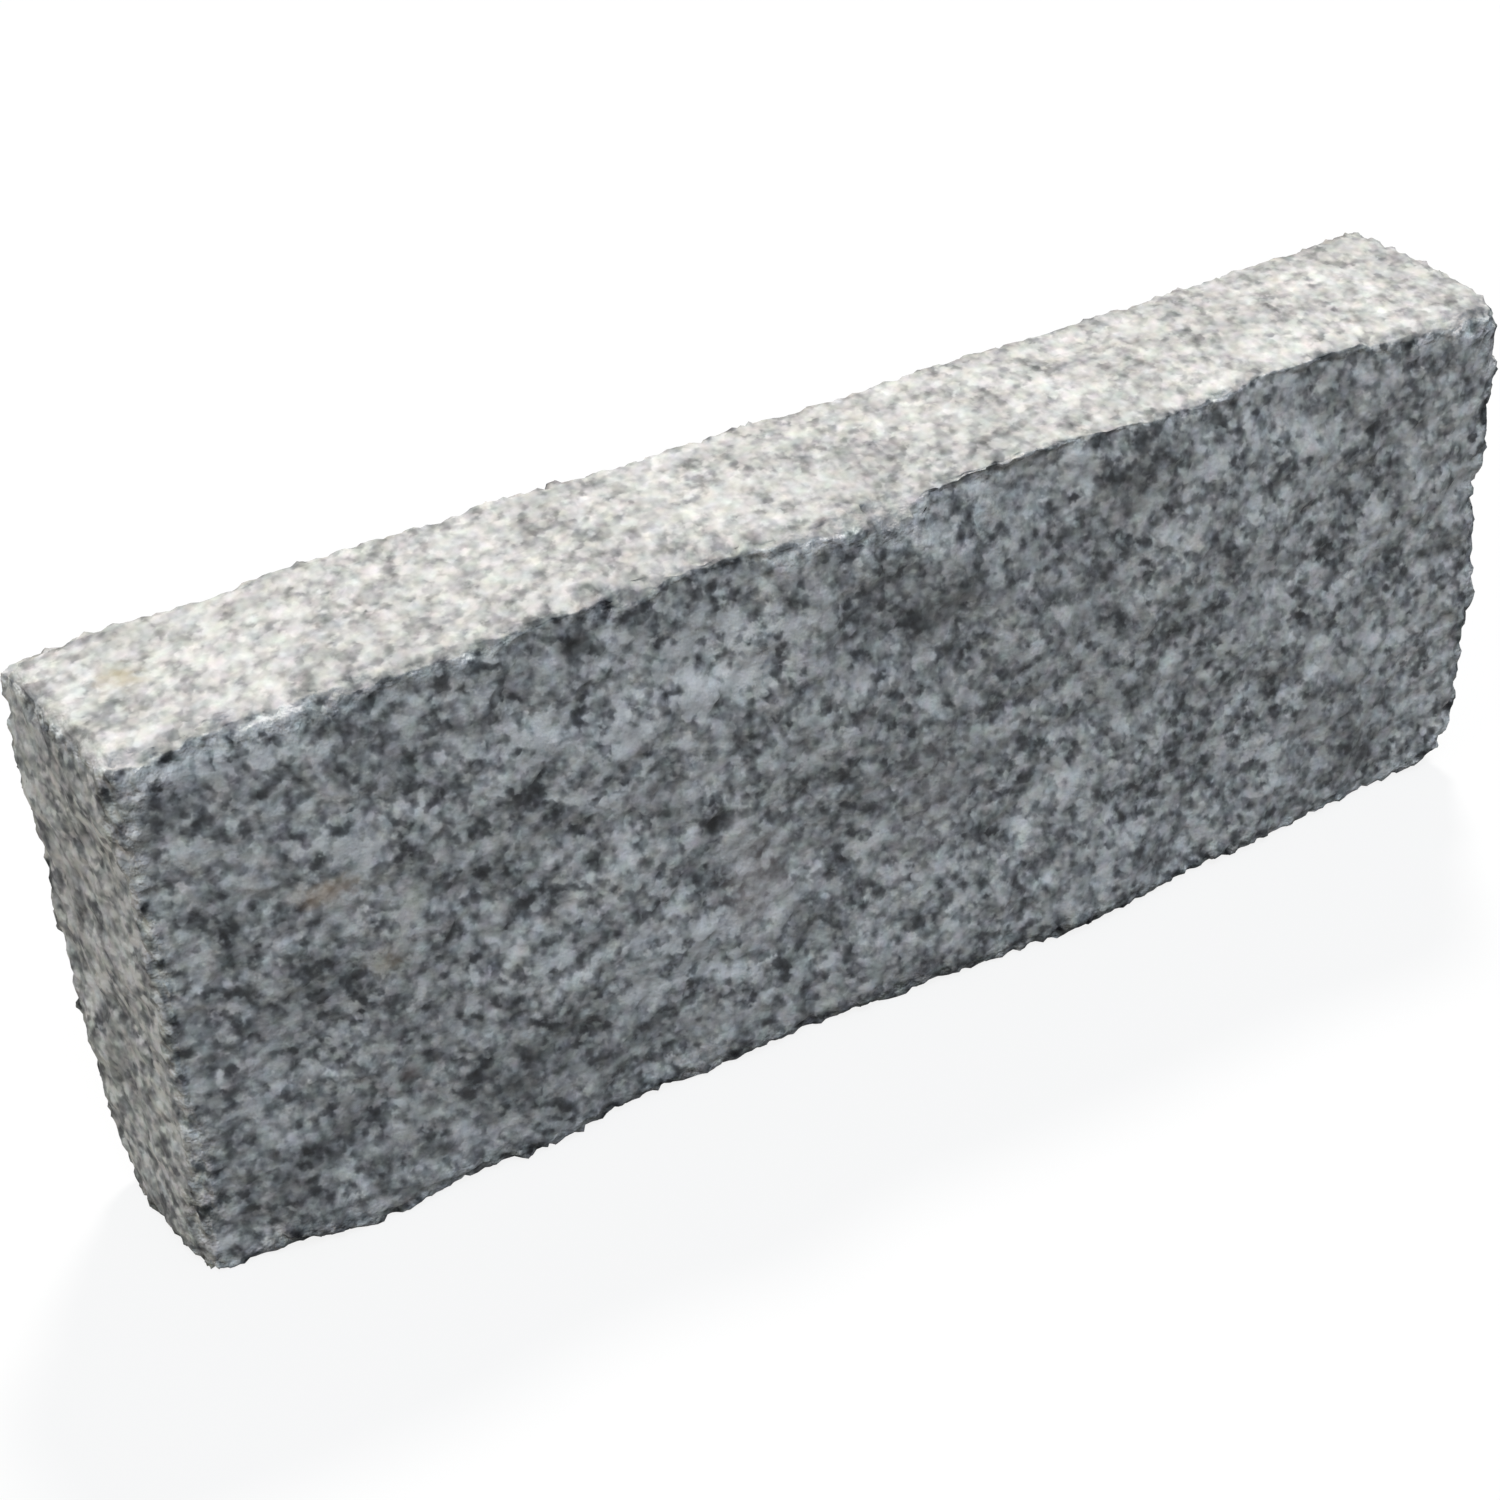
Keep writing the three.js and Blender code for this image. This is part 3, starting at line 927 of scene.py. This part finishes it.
@dataclass
class KerbStone:
    """The stone itself: the frame's block, split and dressed."""

    node: str = "kerb_stone"
    body: str = "root"
    slot: str = "granite"
    weld_gap: float = 0.01
    most_bend: float = 60.0
    most_skew: float = 70.0
    surface: SplitSurface = SplitSurface()
    finish: GraniteFinish = GraniteFinish()

    def build(self, frame: dict) -> bpy.types.Object:
        """Builds the stone and ties it to the frame.


        Returns:
            The stone.
        """
        granite = self.finish.material()
        rough = self.block(frame["nodes"][self.node])
        modifier = rough.modifiers.new("split", "NODES")
        modifier.node_group = self.surface.tree(granite)
        self.fill(modifier)
        stone = self.baked(rough, "granite_kerb")
        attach(stone, self.body)
        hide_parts(self.node)
        return stone

    def fill(self, modifier: bpy.types.Modifier) -> None:
        """Sets the modifier's inputs.

        Args:
            modifier: the Geometry Nodes modifier.
        """
        sockets = modifier.node_group.interface.items_tree
        for name, value in self.surface.sizes().items():
            modifier[sockets[name].identifier] = value

    def block(self, node: bpy.types.Object) -> bpy.types.Object:
        """Copies the frame's block as a clean mesh of quads.

        Args:
            node: the CAD node.

        Returns:
            The copy.
        """
        mesh = bpy.data.meshes.new("block")
        work = bmesh.new()
        work.from_mesh(node.data)
        bmesh.ops.remove_doubles(work, verts=work.verts, dist=self.weld_gap * MM)
        bmesh.ops.join_triangles(
            work,
            faces=work.faces,
            angle_face_threshold=math.radians(self.most_bend),
            angle_shape_threshold=math.radians(self.most_skew),
        )
        work.to_mesh(mesh)
        work.free()
        block = bpy.data.objects.new("block", mesh)
        bpy.context.scene.collection.objects.link(block)
        return block

    @staticmethod
    def baked(rough: bpy.types.Object, name: str) -> bpy.types.Object:
        """Turns a piece with modifiers into a plain mesh at the origin.

        Args:
            rough: the piece, which is removed.
            name: the name of the result.

        Returns:
            The plain piece.
        """
        graph = bpy.context.evaluated_depsgraph_get()
        mesh = bpy.data.meshes.new_from_object(rough.evaluated_get(graph))
        mesh.name = name
        bpy.data.objects.remove(rough)
        stone = bpy.data.objects.new(name, mesh)
        bpy.context.scene.collection.objects.link(stone)
        return stone


@dataclass(frozen=True)
class Camera:
    """The camera: its place in metres, the way it looks in degrees, and its lens."""

    place: tuple[float, float, float] = (-0.7269, -1.1247, 1.0171)
    yaw: float = 31.06
    down: float = 33.45
    roll: float = -2.21
    sensor: float = 36.0
    lens: float = 73.75

    def build(self) -> bpy.types.Object:
        """Builds the camera and makes it the scene's.

        Returns:
            The camera.
        """
        yaw, down, roll = (math.radians(angle) for angle in (self.yaw, self.down, self.roll))
        north = Vector((math.sin(yaw), math.cos(yaw), 0.0))
        ahead = north * math.cos(down) - Vector((0.0, 0.0, math.sin(down)))
        level = Vector((math.cos(yaw), -math.sin(yaw), 0.0))
        over = level.cross(ahead)
        right = level * math.cos(roll) + over * math.sin(roll)
        up = over * math.cos(roll) - level * math.sin(roll)
        data = bpy.data.cameras.new("camera")
        data.sensor_width = self.sensor
        data.lens = self.lens
        camera = bpy.data.objects.new("camera", data)
        turn = Matrix((right, up, -ahead)).transposed().to_4x4()
        camera.matrix_world = Matrix.Translation(self.place) @ turn
        bpy.context.scene.collection.objects.link(camera)
        bpy.context.scene.camera = camera
        return camera


@dataclass(frozen=True)
class Lamp:
    """A far lamp: the way to it from the stone, its colour, strength and width in degrees."""

    name: str
    towards: tuple[float, float, float]
    colour: Colour
    strength: float
    width: float

    def build(self) -> None:
        """Builds the lamp."""
        data = bpy.data.lights.new(self.name, "SUN")
        data.energy = self.strength
        data.color = self.colour
        data.angle = math.radians(self.width)
        lamp = bpy.data.objects.new(self.name, data)
        lamp.rotation_euler = Vector(self.towards).to_track_quat("Z", "Y").to_euler()
        bpy.context.scene.collection.objects.link(lamp)


@dataclass(frozen=True)
class PaleFinish:
    """The floor's finish: pale to the camera, and darker in what it throws back."""

    colour: Colour = (0.80, 0.80, 0.80)
    glow: float = 0.86
    bounce: Colour = (0.12, 0.12, 0.12)

    def material(self) -> bpy.types.Material:
        """Builds the material.

        Returns:
            The pale paint.
        """
        paint = bpy.data.materials.new("pale_floor")
        paint.use_nodes = True
        paint.node_tree.nodes.clear()
        tree = Tree(paint.node_tree)
        seen = tree.add("ShaderNodeBsdfDiffuse", {"Color": (*self.colour, 1.0)}).outputs[0]
        glow = tree.add("ShaderNodeEmission", {"Color": WHITE, "Strength": 1.0}).outputs[0]
        pale = tree.add("ShaderNodeMixShader", {0: self.glow, 1: seen, 2: glow}).outputs[0]
        thrown = tree.add("ShaderNodeBsdfDiffuse", {"Color": (*self.bounce, 1.0)}).outputs[0]
        both = tree.add("ShaderNodeMixShader", {0: tree.shown(), 1: thrown, 2: pale}).outputs[0]
        tree.add("ShaderNodeOutputMaterial", {"Surface": both})
        return paint


@dataclass(frozen=True)
class Studio:
    """The pale floor, the sky light and the lamps. The floor is measured in metres."""

    floor_size: float = 16.0
    floor_gap: float = 0.0002
    floor_finish: PaleFinish = PaleFinish()
    sky_colour: Colour = (0.90, 0.97, 1.03)
    sky_heights: Span = (-0.1, 1.0)
    sky_strengths: Span = (0.17, 0.34)
    lamps: tuple[Lamp, ...] = (
        Lamp("key", (0.32, 0.42, 0.85), (1.0, 0.95, 0.88), 2.65, 9.0),
        Lamp("front", (-0.20, -0.44, 0.88), (0.84, 0.955, 1.09), 1.18, 24.0),
        Lamp("side", (-0.90, -0.10, 0.42), (1.06, 0.93, 0.69), 0.54, 30.0),
    )

    def build(self) -> None:
        """Builds the floor, the world and the lamps."""
        self.floor()
        self.sky()
        for lamp in self.lamps:
            lamp.build()
        bpy.context.scene.view_settings.view_transform = "Standard"

    def floor(self) -> None:
        """Builds the floor, a hair below the stone's bed."""
        half = self.floor_size / 2
        mesh = bpy.data.meshes.new("floor")
        square = [(-half, -half), (half, -half), (half, half), (-half, half)]
        mesh.from_pydata([(x, y, -self.floor_gap) for x, y in square], [], [(0, 1, 2, 3)])
        floor = bpy.data.objects.new("floor", mesh)
        bpy.context.scene.collection.objects.link(floor)
        mesh.materials.append(self.floor_finish.material())

    def sky(self) -> None:
        """Builds the world: white to the camera, and to the stone a cool sky, brighter overhead."""
        world = bpy.data.worlds.new("sky")
        world.use_nodes = True
        world.node_tree.nodes.clear()
        tree = Tree(world.node_tree)
        way = tree.add("ShaderNodeTexCoord", {}).outputs["Generated"]
        height = tree.add("ShaderNodeSeparateXYZ", {0: way}).outputs[2]
        strength = tree.ramp(height, self.sky_heights, self.sky_strengths)
        overhead = {"Color": (*self.sky_colour, 1.0), "Strength": strength}
        cool = tree.add("ShaderNodeBackground", overhead).outputs[0]
        white = tree.add("ShaderNodeBackground", {"Color": WHITE, "Strength": 1.0}).outputs[0]
        both = tree.add("ShaderNodeMixShader", {0: tree.shown(), 1: cool, 2: white}).outputs[0]
        tree.add("ShaderNodeOutputWorld", {"Surface": both})
        bpy.context.scene.world = world


def main() -> None:
    """Builds the scene round the frame."""
    logging.basicConfig(level=logging.INFO, format="%(message)s")
    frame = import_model()
    Camera().build()
    stone = KerbStone().build(frame)
    LOG.info("%s: %d faces", stone.name, len(stone.data.polygons))
    Studio().build()


if __name__ == "__main__":
    main()
